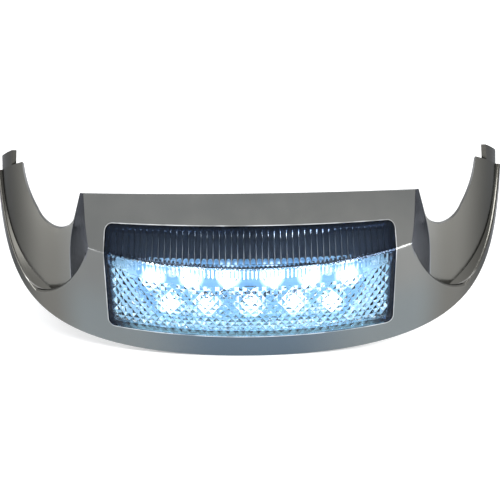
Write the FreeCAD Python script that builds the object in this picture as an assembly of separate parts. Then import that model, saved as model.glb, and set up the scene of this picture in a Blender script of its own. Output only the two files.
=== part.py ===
import FreeCAD, Part
import math
import os

Vector = FreeCAD.Vector

# Fender that the trim wraps: an ellipse in plan, turned about the wheel axle
FENDER_HALF_WIDTH = 102.4
FENDER_NOSE_LENGTH = 64.0
FENDER_RADIUS = 335.0
FENDER_SWEEP = 32.0
FENDER_TAIL = 14.0

# Walls of the plated housing
WING_WALL = 2.8
BOSS_WALL = 2.6

# Lower edge of the trim, an arc seen from the side
EDGE_RADIUS = 73.8
EDGE_BACK_Y = 48.8
EDGE_BOTTOM_Z = -41.0

# Return lips that hook under the fender's edge at the wings
LIP_THICKNESS = 1.8
LIP_REACH = 3.0
LIP_OFFSET = 8.5

# Pocket scooped out of the rim beside the boss, a round cut that falls to the back
POCKET_RADIUS = 16.5
POCKET_Y = 14.0
POCKET_Z = 0.2
POCKET_INSET = 26.4
POCKET_FALL = 27.0
POCKET_OPEN_INSET = 12.4
RIM_BACK_WIDTH = 4.2
RIM_CREST_FILLET = 1.2

# Wing ends, their tongues and the notch beside the boss
HORN_END_Y = 37.0
HORN_END_Z = 26.4
HORN_END_FALL = 22.0
HORN_INSET = 13.3
TONGUE_HEIGHT = 6.2
TONGUE_THICKNESS = 1.6
TONGUE_FRONT_Y = 38.5
TONGUE_LENGTH = 9.6
TONGUE_ROOT = 4.0
NOTCH_BOTTOM_Z = 5.2
NOTCH_WALL_RADIUS = 7.25
NOTCH_SHOULDER_LEAN = 15.0
NOTCH_MIDDLE_Z = 11.8
NOTCH_FOOT_STEP = 8.7
NOTCH_FOOT_RISE = 6.1
NOTCH_FOOT_BOW = 0.14
NOTCH_FLANK_STEP = 5.9
NOTCH_FLANK_RISE = 15.7
NOTCH_FLANK_BOW = 0.06

# Lower face: half ellipses whose nose comes forward with height
RIM_STANDOFF = 0.3
LOWER_CENTRE_SETBACK = 8.0
RIDGE_NOSE_Y = -23.0
LOWER_LEAN = 0.359

# Upper face: a round front leaning back to the fender
UPPER_SETBACK = 2.6
UPPER_RADIUS = 177.0
UPPER_LEAN = 0.962
TOP_EDGE_Z = 21.5
TOP_EDGE_FALL = 7.4
RIDGE_FILLET = 1.2

# Drafted sides of the lamp boss
BOSS_INSET = 40.9
SIDE_Y_AT_RIDGE = -5.5
SIDE_DRAFT = 23.2
SIDE_KNEE_Z = 3.0
SIDE_LEAN = 16.0
SIDE_KNEE_RADIUS = 70.0

# Lens outline seen from the front
LENS_SIDE_BORDER = 7.3
LENS_TOP_Z = 11.2
LENS_BOTTOM_BORDER = 10.3
LENS_BOTTOM_RISE = 2.0
LENS_CORNER = 2.8

# Lens section
LENS_RECESS = 0.4
LENS_WALL = 2.6
LENS_GAP = 0.35
LENS_SKIRT = 1.8
LENS_RIDGE_FILLET = 2.0
FLANGE_WIDTH = 1.8
OPTIC_MARGIN = 2.8
OPTIC_SEAT = 0.15
OPTIC_ROOT = 1.0
FLUTE_COUNT = 46
FLUTE_DEPTH = 0.55
FLUTE_BOTTOM_Z = -2.0
PRISM_COLUMNS = 72
PRISM_ROWS = 11
PRISM_TOP_Z = -9.6
PRISM_TOP_RISE = 6.6
PRISM_HEIGHT = 0.45

# Stack behind the lens, measured forward from the fender's crown
BASE_CLEARANCE = 1.0
BASE_THICKNESS = 2.0
SEAL_THICKNESS = 0.6
FLANGE_THICKNESS = 1.6
GASKET_THICKNESS = 1.0
RECESS_CLEARANCE = 0.2
COLLAR_WIDTH = 2.0
RING_INSET = 0.2
LINER_THICKNESS = 0.5
LINER_CLEARANCE = 0.4
POST_CLEARANCE = 0.2

# Light board and what sits on it
BOARD_THICKNESS = 1.6
BOARD_LIFT = 0.6
BOARD_MARGIN = 12.2
BOARD_FOOT_STEP = 8.0
BOARD_TOP_Z = -3.6
BOARD_FOOT_HEIGHT = 11.0
BOARD_FOOT_MARGIN = 6.7
LED_SIZE = 5.0
LED_HEIGHT = 1.6
LED_WINDOW_RADIUS = 2.0
LED_WINDOW_DEPTH = 0.25
LED_CENTRE_GAP = 16.0
LED_UPPER_EDGE = 6.0
LED_UPPER_DROP = 4.9
LED_LOWER_EDGE = 4.0
LED_LOWER_SHARE = 0.54
LED_LOWER_RISE = 5.6
RESISTOR_LENGTH = 3.2
RESISTOR_WIDTH = 1.6
RESISTOR_HEIGHT = 0.6
RESISTOR_X = (-15.0, -8.0, 8.0, 15.0)
DIODE_LENGTH = 4.4
DIODE_WIDTH = 2.6
DIODE_HEIGHT = 2.0

# Fasteners
SCREW_FIT = 0.05
BOARD_SCREW_DROP = 3.0
BOARD_FOOT_SCREW_RISE = 3.0
BOARD_SCREW_RADIUS = 0.95
BOARD_SCREW_HEAD_RADIUS = 1.8
BOARD_SCREW_HEAD = 1.0
BOARD_SCREW_LENGTH = 3.2
BOARD_POST_RADIUS = 2.3
BASE_SCREW_OFFSET = 5.8
BASE_SCREW_UPPER_DROP = 5.2
BASE_SCREW_LOWER_RISE = 10.7
BASE_SCREW_RADIUS = 1.2
BASE_SCREW_HEAD_RADIUS = 2.3
BASE_SCREW_HEAD = 1.3
BASE_SCREW_LENGTH = 4.8
BASE_POST_RADIUS = 2.7
EAR_RADIUS = 3.1
EAR_CLEARANCE = 0.7
EAR_THICKNESS = 2.0
SCREW_RECESS_RADIUS = 0.9
SCREW_RECESS_DEPTH = 0.7
SCREW_HEAD_ROUNDING = 0.45

# Studs that pass through the fender
STUD_OFFSET = 7.3
STUD_Z = -7.0
STUD_RADIUS = 2.0
STUD_LENGTH = 14.0
STUD_ROOT = 6.0
STUD_ROOT_RADIUS = 2.6
STUD_TIP_CHAMFER = 0.6
STUD_BOSS_RADIUS = 4.2
STUD_SEAT_CLEARANCE = 0.3

# Grommet for the lead, closed by a thin skin until the lead is pushed through
GROMMET_DROP = 5.3
GROMMET_FLANGE_RADIUS = 2.9
GROMMET_FLANGE = 0.7
GROMMET_HOLE_RADIUS = 1.9
GROMMET_BORE_RADIUS = 1.0
GROMMET_SKIN = 0.4
GROMMET_FIT = 0.05

# Reach of the cutting shapes, well past the part
FAR = 150.0

RIGHT = Vector(1, 0, 0)
BACK = Vector(0, 1, 0)
UP = Vector(0, 0, 1)

trim_half_width = FENDER_HALF_WIDTH + WING_WALL
lower_half_width = trim_half_width + RIM_STANDOFF
lower_centre_y = FENDER_NOSE_LENGTH + LOWER_CENTRE_SETBACK
edge_centre_y = EDGE_BACK_Y - EDGE_RADIUS
edge_centre_z = EDGE_BOTTOM_Z + EDGE_RADIUS
pocket_x = FENDER_HALF_WIDTH - POCKET_INSET
pocket_open_x = FENDER_HALF_WIDTH - POCKET_OPEN_INSET
notch_top_x = FENDER_HALF_WIDTH - HORN_INSET
notch_flank_x = notch_top_x - NOTCH_FLANK_STEP
notch_bottom_x = notch_flank_x - NOTCH_FOOT_STEP
notch_flank_z = NOTCH_BOTTOM_Z + NOTCH_FOOT_RISE
notch_top_z = notch_flank_z + NOTCH_FLANK_RISE
side_x_at_ridge = FENDER_HALF_WIDTH - BOSS_INSET
lip_start_x = side_x_at_ridge + LIP_OFFSET
lens_half_width = side_x_at_ridge - LENS_SIDE_BORDER
lens_bottom_z = EDGE_BOTTOM_Z + LENS_BOTTOM_BORDER
optic_half_span = lens_half_width - OPTIC_MARGIN
flute_top_z = LENS_TOP_Z - OPTIC_MARGIN
prism_bottom_z = lens_bottom_z + OPTIC_MARGIN
base_back = BASE_CLEARANCE
base_front = base_back + BASE_THICKNESS
flange_back = base_front + SEAL_THICKNESS
flange_front = flange_back + FLANGE_THICKNESS
gasket_front = flange_front + GASKET_THICKNESS
board_back_y = -base_front - BOARD_LIFT
board_front_y = board_back_y - BOARD_THICKNESS
board_half_width = lens_half_width - BOARD_MARGIN
board_foot_half_width = board_half_width - BOARD_FOOT_STEP
board_bottom_z = lens_bottom_z + BOARD_FOOT_MARGIN
board_knee_z = board_bottom_z + BOARD_FOOT_HEIGHT
led_pitch = (board_half_width - LED_UPPER_EDGE - LED_CENTRE_GAP / 2) / 2
led_upper_z = BOARD_TOP_Z - LED_UPPER_DROP
led_lower_z = board_bottom_z + LED_LOWER_RISE
led_lower_outer_x = board_foot_half_width - LED_LOWER_EDGE
led_lower_inner_x = led_lower_outer_x * LED_LOWER_SHARE
chip_z = (led_upper_z + led_lower_z) / 2
board_screw_x = LED_CENTRE_GAP / 2 + led_pitch * 3 / 2
board_screw_z = BOARD_TOP_Z - BOARD_SCREW_DROP
board_foot_screw_x = (led_lower_inner_x + led_lower_outer_x) / 2
board_foot_screw_z = board_bottom_z + BOARD_FOOT_SCREW_RISE
base_screw_x = lens_half_width + BASE_SCREW_OFFSET
base_screw_upper_z = LENS_TOP_Z - BASE_SCREW_UPPER_DROP
base_screw_lower_z = lens_bottom_z + BASE_SCREW_LOWER_RISE
stud_x = lens_half_width + STUD_OFFSET
grommet_z = LENS_TOP_Z - GROMMET_DROP


def line(start, end):
    return Part.LineSegment(start, end).toShape()


def arc(start, middle, end):
    return Part.Arc(start, middle, end).toShape()


def face_of(edges):
    return Part.Face(Part.Wire(edges))


def polygon_face(points):
    return Part.Face(Part.makePolygon(points + [points[0]]))


def cylinder_y(radius, x, z, y_start, y_end):
    return Part.makeCylinder(radius, y_end - y_start, Vector(x, y_start, z), BACK)


def box_between(low, high):
    return Part.makeBox(high[0] - low[0], high[1] - low[1], high[2] - low[2], Vector(*low))


def mirrored(shape):
    return shape.mirror(Vector(0, 0, 0), RIGHT)


def crown_face(offset, z):
    """Plan outline of the fender, grown by offset and closed at the tail."""
    half = FENDER_HALF_WIDTH + offset
    nose = FENDER_NOSE_LENGTH + offset
    return half_ellipse_face(half, nose, FENDER_NOSE_LENGTH, z)


def half_ellipse_wire(half, nose, centre_y, z):
    """Half ellipse bulging forward from centre_y, closed by a straight tail."""
    left, right = Vector(-half, centre_y, z), Vector(half, centre_y, z)
    tail = BACK * FENDER_TAIL
    stretch = FreeCAD.Matrix()
    stretch.scale(Vector(half, nose, 1))
    stretch.move(Vector(0, centre_y, z))
    front = arc(Vector(-1, 0, 0), Vector(0, -1, 0), Vector(1, 0, 0)).transformGeometry(stretch)
    edges = [
        front,
        line(right, right + tail),
        line(right + tail, left + tail),
        line(left + tail, left),
    ]
    return Part.Wire(edges)


def half_ellipse_face(half, nose, centre_y, z):
    return Part.Face(half_ellipse_wire(half, nose, centre_y, z))


def fender(offset):
    """Space inside the fender's surface grown by offset."""
    face = crown_face(offset, 0)
    axle = Vector(0, FENDER_RADIUS, 0)
    face.rotate(axle, RIGHT, -FENDER_SWEEP / 2)
    return face.revolve(axle, RIGHT, FENDER_SWEEP)


def crown(offset):
    """Straight column with the fender's plan outline grown by offset."""
    return crown_face(offset, -FAR / 2).extrude(UP * FAR)


def fender_y(x, offset=0.0):
    share = x / (FENDER_HALF_WIDTH + offset)
    return FENDER_NOSE_LENGTH - (FENDER_NOSE_LENGTH + offset) * math.sqrt(1 - share * share)


def lower_nose(z, inset):
    """Length of the lower face's half ellipse at height z."""
    ridge = lower_centre_y - RIDGE_NOSE_Y
    return ridge + LOWER_LEAN * z - inset * math.hypot(1, LOWER_LEAN)


def lower_y(x, z, inset):
    share = x / (lower_half_width - inset)
    return lower_centre_y - lower_nose(z, inset) * math.sqrt(1 - share * share)


def lower_body(inset):
    """Body behind the lower face, with the face moved in by inset."""
    low, high = -FAR / 3, FAR / 3
    wires = []
    half = lower_half_width - inset
    for z in (low, high):
        wires.append(half_ellipse_wire(half, lower_nose(z, inset), lower_centre_y, z))
    return Part.makeLoft(wires, True, True)


def upper_nose_y(z, inset):
    return RIDGE_NOSE_Y + UPPER_SETBACK + UPPER_LEAN * z + inset * math.hypot(1, UPPER_LEAN)


def upper_y(x, z, inset):
    return upper_nose_y(z, inset) + UPPER_RADIUS - math.sqrt(UPPER_RADIUS ** 2 - x * x)


def upper_body(inset):
    """Body behind the upper face, with the face moved in by inset."""
    low, high = -FAR / 3, FAR / 3
    reach = lower_half_width
    nose = Vector(0, upper_nose_y(low, inset), low)
    side_y = upper_y(reach, low, inset)
    left, right = Vector(-reach, side_y, low), Vector(reach, side_y, low)
    back = BACK * FAR
    edges = [
        arc(left, nose, right),
        line(right, right + back),
        line(right + back, left + back),
        line(left + back, left),
    ]
    return face_of(edges).extrude(Vector(0, UPPER_LEAN, 1) * (high - low))


def side_x(y, inset):
    slope = math.tan(math.radians(SIDE_DRAFT))
    return side_x_at_ridge + (y - SIDE_Y_AT_RIDGE) * slope - inset * math.hypot(1, slope)


def side_wire(z, inset):
    front, back = -FAR / 3, FAR / 3
    taper = max(z - SIDE_KNEE_Z, 0) * math.tan(math.radians(SIDE_LEAN))
    front_x, back_x = side_x(front, inset) - taper, side_x(back, inset) - taper
    corners = [
        Vector(-front_x, front, z),
        Vector(front_x, front, z),
        Vector(back_x, back, z),
        Vector(-back_x, back, z),
    ]
    return Part.makePolygon(corners + [corners[0]])


def side_body(inset):
    """Column between the drafted sides of the lamp boss, leaning in above the ridge."""
    levels = (-FAR / 2, SIDE_KNEE_Z, FAR / 3)
    column = Part.makeLoft([side_wire(z, inset) for z in levels], True, True)
    knees = []
    for edge in column.Edges:
        middle = edge.CenterOfMass
        if abs(middle.z - SIDE_KNEE_Z) < 0.01 and abs(middle.x) > 1:
            knees.append(edge)
    return column.makeFillet(SIDE_KNEE_RADIUS, knees)


def edge_cylinder(inset):
    """Everything above the trim's lower edge, with the edge moved in by inset."""
    centre = Vector(-FAR, edge_centre_y, edge_centre_z)
    return Part.makeCylinder(EDGE_RADIUS - inset, 2 * FAR, centre, RIGHT)


def horn_end_z(y):
    return HORN_END_Z - (y - HORN_END_Y) * math.tan(math.radians(HORN_END_FALL))


def below_horn_end(lift):
    """Everything below the sloping cut across the wing ends, raised by lift."""
    rise = lift / math.cos(math.radians(HORN_END_FALL))
    points = [
        Vector(-FAR, -FAR, horn_end_z(-FAR) + rise),
        Vector(-FAR, FAR, horn_end_z(FAR) + rise),
        Vector(-FAR, FAR, -FAR),
        Vector(-FAR, -FAR, -FAR),
    ]
    return polygon_face(points).extrude(RIGHT * 2 * FAR)


def below_top_edge(inset):
    """Everything below the boss's top edge, moved down by inset."""
    slope = math.tan(math.radians(TOP_EDGE_FALL))
    front, back = -FAR / 2, FAR / 2
    points = [
        Vector(-FAR, front, TOP_EDGE_Z - inset - front * slope),
        Vector(-FAR, back, TOP_EDGE_Z - inset - back * slope),
        Vector(-FAR, back, -FAR),
        Vector(-FAR, front, -FAR),
    ]
    return polygon_face(points).extrude(RIGHT * 2 * FAR)


def lens_column(grow):
    """Column along Y with the lens outline grown by grow."""
    half = lens_half_width + grow
    top = LENS_TOP_Z + grow
    bottom = lens_bottom_z - grow
    corner = bottom + LENS_BOTTOM_RISE
    front = -FAR / 3
    low_left, low_right = Vector(-half, front, corner), Vector(half, front, corner)
    low_mid = Vector(0, front, bottom)
    high_left, high_right = Vector(-half, front, top), Vector(half, front, top)
    edges = [
        arc(low_left, low_mid, low_right),
        line(low_right, high_right),
        line(high_right, high_left),
        line(high_left, low_left),
    ]
    column = face_of(edges).extrude(BACK * FAR)
    corners = [edge for edge in column.Edges if abs(edge.tangentAt(edge.FirstParameter).y) > 0.9]
    return column.makeFillet(LENS_CORNER + max(grow, -LENS_CORNER / 2), corners)


def ridge_edges(body, inset):
    """Edges where the upper face meets the lower face."""
    found = []
    for edge in body.Edges:
        middle = edge.valueAt((edge.FirstParameter + edge.LastParameter) / 2)
        on_lower = abs(lower_y(middle.x, middle.z, inset) - middle.y) < 0.05
        on_upper = abs(upper_y(middle.x, middle.z, inset) - middle.y) < 0.05
        if on_lower and on_upper:
            found.append(edge)
    return found


def boss_body(inset, fillet):
    """Wedge of the lamp boss: lower face, upper face and drafted sides."""
    body = lower_body(inset).common(upper_body(inset)).common(side_body(inset))
    body = body.common(box_between((-FAR, -FAR / 2, -FAR / 4), (FAR, FAR / 4, FAR / 4)))
    if fillet:
        body = body.makeFillet(fillet, ridge_edges(body, inset))
    return body


def notch_column():
    """Open notch between the boss and the right wing's end."""
    front = -FAR / 3
    bottom = Vector(notch_bottom_x, front, NOTCH_BOTTOM_Z)
    lean = math.radians(NOTCH_SHOULDER_LEAN)
    centre = bottom + UP * NOTCH_WALL_RADIUS
    wall = centre - Vector(math.cos(lean), 0, math.sin(lean)) * NOTCH_WALL_RADIUS
    wall_mid = centre + (wall + bottom - centre * 2).normalize() * NOTCH_WALL_RADIUS
    flank = Vector(notch_flank_x, front, notch_flank_z)
    top = Vector(notch_top_x, front, notch_top_z)
    roof_out = Vector(notch_top_x, front, FAR / 2)
    roof_in = wall + Vector(-math.tan(lean), 0, 1) * (FAR / 2 - wall.z)
    foot_bow = Vector(1, 0, -1).normalize() * (flank - bottom).Length * NOTCH_FOOT_BOW
    flank_bow = Vector(1, 0, -0.5).normalize() * (top - flank).Length * NOTCH_FLANK_BOW
    edges = [
        line(roof_in, wall),
        arc(wall, wall_mid, bottom),
        arc(bottom, (bottom + flank) / 2 + foot_bow, flank),
        arc(flank, (flank + top) / 2 + flank_bow, top),
        line(top, roof_out),
        line(roof_out, roof_in),
    ]
    return face_of(edges).extrude(BACK * FAR)


def notches():
    right = notch_column()
    return [right, mirrored(right)]


def pocket_column():
    """Space scooped out above the right half's rim, keeping a band along the edge."""
    axis = Vector(pocket_x, POCKET_Y, POCKET_Z)
    slope = math.radians(POCKET_FALL)
    along = Vector(0, math.cos(slope), -math.sin(slope))
    scoop = Part.makeCylinder(POCKET_RADIUS, 2 * FAR, axis - along * FAR, along)
    above = box_between((side_x_at_ridge / 2 - pocket_x, -FAR, 0), (FAR, FAR, FAR))
    above.rotate(Vector(0, 0, 0), RIGHT, -POCKET_FALL)
    above.translate(axis)
    beyond = box_between((pocket_open_x, -FAR, -FAR), (FAR, FAR, FAR))
    return scoop.fuse([above, beyond]).common(edge_cylinder(RIM_BACK_WIDTH))


def soft_rim(trim):
    """Rim along the trim's lower edge, with a rounded crest round the pocket."""
    pocket = pocket_column()
    inside = side_x_at_ridge
    middle = box_between((-inside, -FAR, lens_bottom_z), (inside, FAR, FAR))
    rim = lower_body(0).common(trim).cut([pocket, mirrored(pocket), middle])
    crest = []
    for edge in rim.Edges:
        point = edge.valueAt((edge.FirstParameter + edge.LastParameter) / 2)
        on_face = abs(lower_y(point.x, point.z, 0) - point.y) < 0.05
        from_edge = EDGE_RADIUS - math.hypot(point.y - edge_centre_y, point.z - edge_centre_z)
        if on_face and from_edge > RIM_BACK_WIDTH - 0.05 and abs(point.x) > inside + 0.05:
            crest.append(edge)
    return rim.makeFillet(RIM_CREST_FILLET, crest)


def tongues():
    """Thin stepped tongues that carry on past the wing ends."""
    strip = fender(TONGUE_THICKNESS).cut(fender(0))
    back = TONGUE_FRONT_Y + TONGUE_LENGTH
    low = horn_end_z(back) - TONGUE_ROOT
    window = box_between((-FAR, TONGUE_FRONT_Y, low), (FAR, back, FAR / 2))
    return strip.common(window).common(below_horn_end(TONGUE_HEIGHT))


def outer_form():
    """Housing as a solid block, before the fender and the chamber are taken out."""
    trim = edge_cylinder(0).common(below_horn_end(0))
    middle = box_between((-notch_bottom_x, -FAR, NOTCH_MIDDLE_Z), (notch_bottom_x, FAR, FAR))
    wings = fender(WING_WALL).common(trim).cut([middle] + notches())
    rim = soft_rim(trim)
    boss = boss_body(0, RIDGE_FILLET).common(edge_cylinder(0)).common(below_top_edge(0))
    return wings.fuse([rim, boss.cut(notches())])


def seat_y():
    """Plane of the stud seats, just clear of the fender."""
    return fender_y(stud_x - STUD_BOSS_RADIUS) - STUD_SEAT_CLEARANCE


def ear_back_y():
    """Back of the base's screw ears, just clear of the fender."""
    return fender_y(base_screw_x - EAR_RADIUS) - EAR_CLEARANCE


def ear_front_y():
    return ear_back_y() - EAR_THICKNESS


def tip_housing():
    block = outer_form().removeSplitter()
    shell = block.cut(fender(0))
    chamber = boss_body(BOSS_WALL, 0).common(edge_cylinder(BOSS_WALL))
    shell = shell.cut(chamber.common(below_top_edge(BOSS_WALL)))
    collar = lens_column(COLLAR_WIDTH).cut(crown(gasket_front))
    posts = []
    for z in (base_screw_upper_z, base_screw_lower_z):
        posts.append(cylinder_y(BASE_POST_RADIUS, base_screw_x, z, RIDGE_NOSE_Y, ear_front_y()))
    posts.append(cylinder_y(STUD_BOSS_RADIUS, stud_x, STUD_Z, RIDGE_NOSE_Y, seat_y()))
    posts += [mirrored(post) for post in posts]
    inside = collar.fuse(posts).common(block)
    lip = fender(0).cut(fender(-LIP_REACH)).common(edge_cylinder(0)).cut(edge_cylinder(LIP_THICKNESS))
    lip = lip.common(box_between((-FAR, -FAR, -FAR), (FAR, HORN_END_Y, 0)))
    lip = lip.cut(box_between((-lip_start_x, -FAR, -FAR), (lip_start_x, FAR, FAR)))
    shell = shell.fuse([inside, lip, tongues()])
    shell = shell.cut(lens_column(0).cut(crown(gasket_front)))
    shell = shell.cut(lens_column(FLANGE_WIDTH + RECESS_CLEARANCE).common(crown(gasket_front)))
    holes = []
    screw_hole = BASE_SCREW_RADIUS + SCREW_FIT
    for z in (base_screw_upper_z, base_screw_lower_z):
        tip = ear_back_y() - BASE_SCREW_LENGTH - SCREW_FIT
        holes.append(cylinder_y(screw_hole, base_screw_x, z, tip, ear_front_y()))
    stud_hole = STUD_ROOT_RADIUS + SCREW_FIT
    holes.append(cylinder_y(stud_hole, stud_x, STUD_Z, seat_y() - STUD_ROOT, seat_y()))
    holes += [mirrored(hole) for hole in holes]
    return shell.cut(holes).removeSplitter()


def flute_block():
    """Row of upright flutes along the inside of the lens's upper face."""
    inset = LENS_RECESS + LENS_WALL
    pitch = 2 * optic_half_span / FLUTE_COUNT
    points = []
    for index in range(FLUTE_COUNT + 1):
        x = -optic_half_span + index * pitch
        points.append(Vector(x, upper_y(x, FLUTE_BOTTOM_Z, inset) + OPTIC_SEAT, FLUTE_BOTTOM_Z))
    edges = []
    for start, end in zip(points, points[1:]):
        edges.append(arc(start, (start + end) / 2 + BACK * FLUTE_DEPTH, end))
    front_left = points[0] - BACK * OPTIC_ROOT
    front_right = points[-1] - BACK * OPTIC_ROOT
    front_mid = Vector(0, upper_y(0, FLUTE_BOTTOM_Z, inset) + OPTIC_SEAT - OPTIC_ROOT, FLUTE_BOTTOM_Z)
    edges.append(line(points[-1], front_right))
    edges.append(arc(front_right, front_mid, front_left))
    edges.append(line(front_left, points[0]))
    block = face_of(edges).extrude(Vector(0, UPPER_LEAN, 1) * (flute_top_z - FLUTE_BOTTOM_Z))
    return block.common(lower_body(inset - OPTIC_ROOT))


def prism_block():
    """Staggered four-sided prisms along the inside of the lens's lower face."""
    inset = LENS_RECESS + LENS_WALL
    columns, rows = PRISM_COLUMNS, PRISM_ROWS
    backs, fronts = [], []
    for row in range(rows + 1):
        for column in range(columns + 1):
            share = 2 * column / columns - 1
            x = optic_half_span * share
            foot = prism_bottom_z + LENS_BOTTOM_RISE * share * share
            top = PRISM_TOP_Z + PRISM_TOP_RISE * share ** 4
            z = foot + (top - foot) * row / rows
            y = lower_y(x, z, inset) + OPTIC_SEAT
            peak = PRISM_HEIGHT if (row + column) % 2 else 0.0
            backs.append(Vector(x, y + peak, z))
            fronts.append(Vector(x, y - OPTIC_ROOT, z))
    points = backs + fronts
    front = len(backs)
    facets = []

    def at(row, column):
        return row * (columns + 1) + column

    def add_quad(a, b, c, d):
        facets.append((a, b, c))
        facets.append((a, c, d))

    for row in range(rows):
        for column in range(columns):
            a, b = at(row, column), at(row, column + 1)
            c, d = at(row + 1, column + 1), at(row + 1, column)
            if (row + column) % 2:
                add_quad(b, a, d, c)
            else:
                add_quad(a, d, c, b)
            add_quad(front + a, front + b, front + c, front + d)
    for column in range(columns):
        a, b = at(0, column), at(0, column + 1)
        add_quad(a, b, front + b, front + a)
        c, d = at(rows, column + 1), at(rows, column)
        add_quad(c, d, front + d, front + c)
    for row in range(rows):
        a, d = at(row, 0), at(row + 1, 0)
        add_quad(d, a, front + a, front + d)
        b, c = at(row, columns), at(row + 1, columns)
        add_quad(b, c, front + c, front + b)
    shell = Part.Shape()
    shell.makeShapeFromMesh((points, facets), 0.01)
    return Part.makeSolid(shell)


def lens():
    inner = LENS_RECESS + LENS_WALL
    skirt = -LENS_GAP - LENS_SKIRT
    cup = boss_body(LENS_RECESS, LENS_RIDGE_FILLET).common(lens_column(-LENS_GAP))
    cup = cup.cut(crown(flange_back))
    hollow = boss_body(inner, 0).common(lens_column(skirt))
    flange = ring_between(flange_back, flange_front, FLANGE_WIDTH, skirt)
    shell = cup.cut(hollow).fuse(flange)
    return shell.fuse([flute_block(), prism_block()])


def ring_between(back, front, outer, inner):
    """Band of even thickness that follows the fender's crown round the lens."""
    return crown(front).cut(crown(back)).common(lens_column(outer)).cut(lens_column(inner))


def lens_gasket():
    return ring_between(flange_front, gasket_front, FLANGE_WIDTH - RING_INSET, RING_INSET)


def base_seal():
    inner = RING_INSET - LENS_GAP - LENS_SKIRT
    return ring_between(base_front, flange_back, FLANGE_WIDTH - RING_INSET, inner)


def board_screw_places():
    places = []
    for side in (-1, 1):
        places.append((side * board_screw_x, board_screw_z))
        places.append((side * board_foot_screw_x, board_foot_screw_z))
    return places


def base_screw_places():
    places = []
    for side in (-1, 1):
        for z in (base_screw_upper_z, base_screw_lower_z):
            places.append((side * base_screw_x, z))
    return places


def lamp_base():
    plate = crown(base_front).cut(crown(base_back)).common(lens_column(FLANGE_WIDTH))
    pieces = []
    for x, z in base_screw_places():
        inner_x = math.copysign(lens_half_width + FLANGE_WIDTH / 2, x)
        low_x, high_x = sorted((inner_x, x))
        low, high = (low_x, ear_front_y(), z - EAR_RADIUS), (high_x, ear_back_y(), z + EAR_RADIUS)
        pieces.append(box_between(low, high))
        pieces.append(cylinder_y(EAR_RADIUS, x, z, ear_front_y(), ear_back_y()))
    for x, z in board_screw_places():
        root = fender_y(abs(x), base_front - BASE_THICKNESS / 2)
        post = cylinder_y(BOARD_POST_RADIUS, x, z, board_back_y, root)
        pieces.append(post)
    holes = []
    for x, z in base_screw_places():
        holes.append(cylinder_y(BASE_SCREW_RADIUS + SCREW_FIT, x, z, ear_front_y(), ear_back_y()))
    for x, z in board_screw_places():
        tip = board_front_y + BOARD_SCREW_LENGTH + SCREW_FIT
        holes.append(cylinder_y(BOARD_SCREW_RADIUS + SCREW_FIT, x, z, board_back_y, tip))
    holes.append(cylinder_y(GROMMET_HOLE_RADIUS, 0, grommet_z, -base_front - BASE_THICKNESS, 0))
    return plate.fuse(pieces).cut(holes)


def light_liner():
    """Thin pale liner over the base's face, round and behind the light board."""
    edge = -LENS_GAP - LENS_SKIRT - LINER_CLEARANCE
    liner = crown(base_front + LINER_THICKNESS).cut(crown(base_front)).common(lens_column(edge))
    liner = liner.common(box_between((-FAR, -FAR, -FAR), (FAR, FAR, BOARD_TOP_Z)))
    hole = BOARD_POST_RADIUS + POST_CLEARANCE
    for x, z in board_screw_places():
        liner = liner.cut(cylinder_y(hole, x, z, board_back_y, fender_y(abs(x))))
    return liner


def led_board():
    points = [
        Vector(-board_foot_half_width, board_front_y, board_bottom_z),
        Vector(board_foot_half_width, board_front_y, board_bottom_z),
        Vector(board_half_width, board_front_y, board_knee_z),
        Vector(board_half_width, board_front_y, BOARD_TOP_Z),
        Vector(-board_half_width, board_front_y, BOARD_TOP_Z),
        Vector(-board_half_width, board_front_y, board_knee_z),
    ]
    board = polygon_face(points).extrude(BACK * BOARD_THICKNESS)
    for x, z in board_screw_places():
        board = board.cut(cylinder_y(BOARD_SCREW_RADIUS + SCREW_FIT, x, z, board_front_y, board_back_y))
    return board


def led_upper_places():
    half = [LED_CENTRE_GAP / 2 + led_pitch * step for step in range(3)]
    return [-x for x in reversed(half)] + half


def led_lower_places():
    half = [led_lower_inner_x, led_lower_outer_x]
    return [-x for x in reversed(half)] + [0.0] + half


def led(x, z):
    half = LED_SIZE / 2
    front = board_front_y - LED_HEIGHT
    package = box_between((x - half, front, z - half), (x + half, board_front_y, z + half))
    return package.cut(cylinder_y(LED_WINDOW_RADIUS, x, z, front, front + LED_WINDOW_DEPTH))


def board_chip(x, z, length, width, height):
    low = (x - length / 2, board_front_y - height, z - width / 2)
    high = (x + length / 2, board_front_y, z + width / 2)
    return box_between(low, high)


def pan_screw(x, z, seat, towards, radius, length, head_radius, head):
    """Round-headed screw whose head sits at seat and whose shank runs along towards."""
    direction = BACK * towards
    start = Vector(x, seat, z)
    shank = Part.makeCylinder(radius, length, start, direction)
    cap = Part.makeCylinder(head_radius, head, start, direction * -1)
    rim = [edge for edge in cap.Edges if abs(edge.CenterOfMass.y - (seat - towards * head)) < 0.01]
    cap = cap.makeFillet(head * SCREW_HEAD_ROUNDING, rim)
    top = start - direction * head
    recess = Part.makeCylinder(SCREW_RECESS_RADIUS, SCREW_RECESS_DEPTH, top, direction)
    return shank.fuse(cap).cut(recess).removeSplitter()


def board_screws():
    screws = []
    for x, z in board_screw_places():
        sizes = (BOARD_SCREW_RADIUS, BOARD_SCREW_LENGTH, BOARD_SCREW_HEAD_RADIUS, BOARD_SCREW_HEAD)
        screws.append(pan_screw(x, z, board_front_y, 1, *sizes))
    return Part.makeCompound(screws)


def base_screws():
    screws = []
    for x, z in base_screw_places():
        sizes = (BASE_SCREW_RADIUS, BASE_SCREW_LENGTH, BASE_SCREW_HEAD_RADIUS, BASE_SCREW_HEAD)
        screws.append(pan_screw(x, z, ear_back_y(), -1, *sizes))
    return Part.makeCompound(screws)


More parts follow.
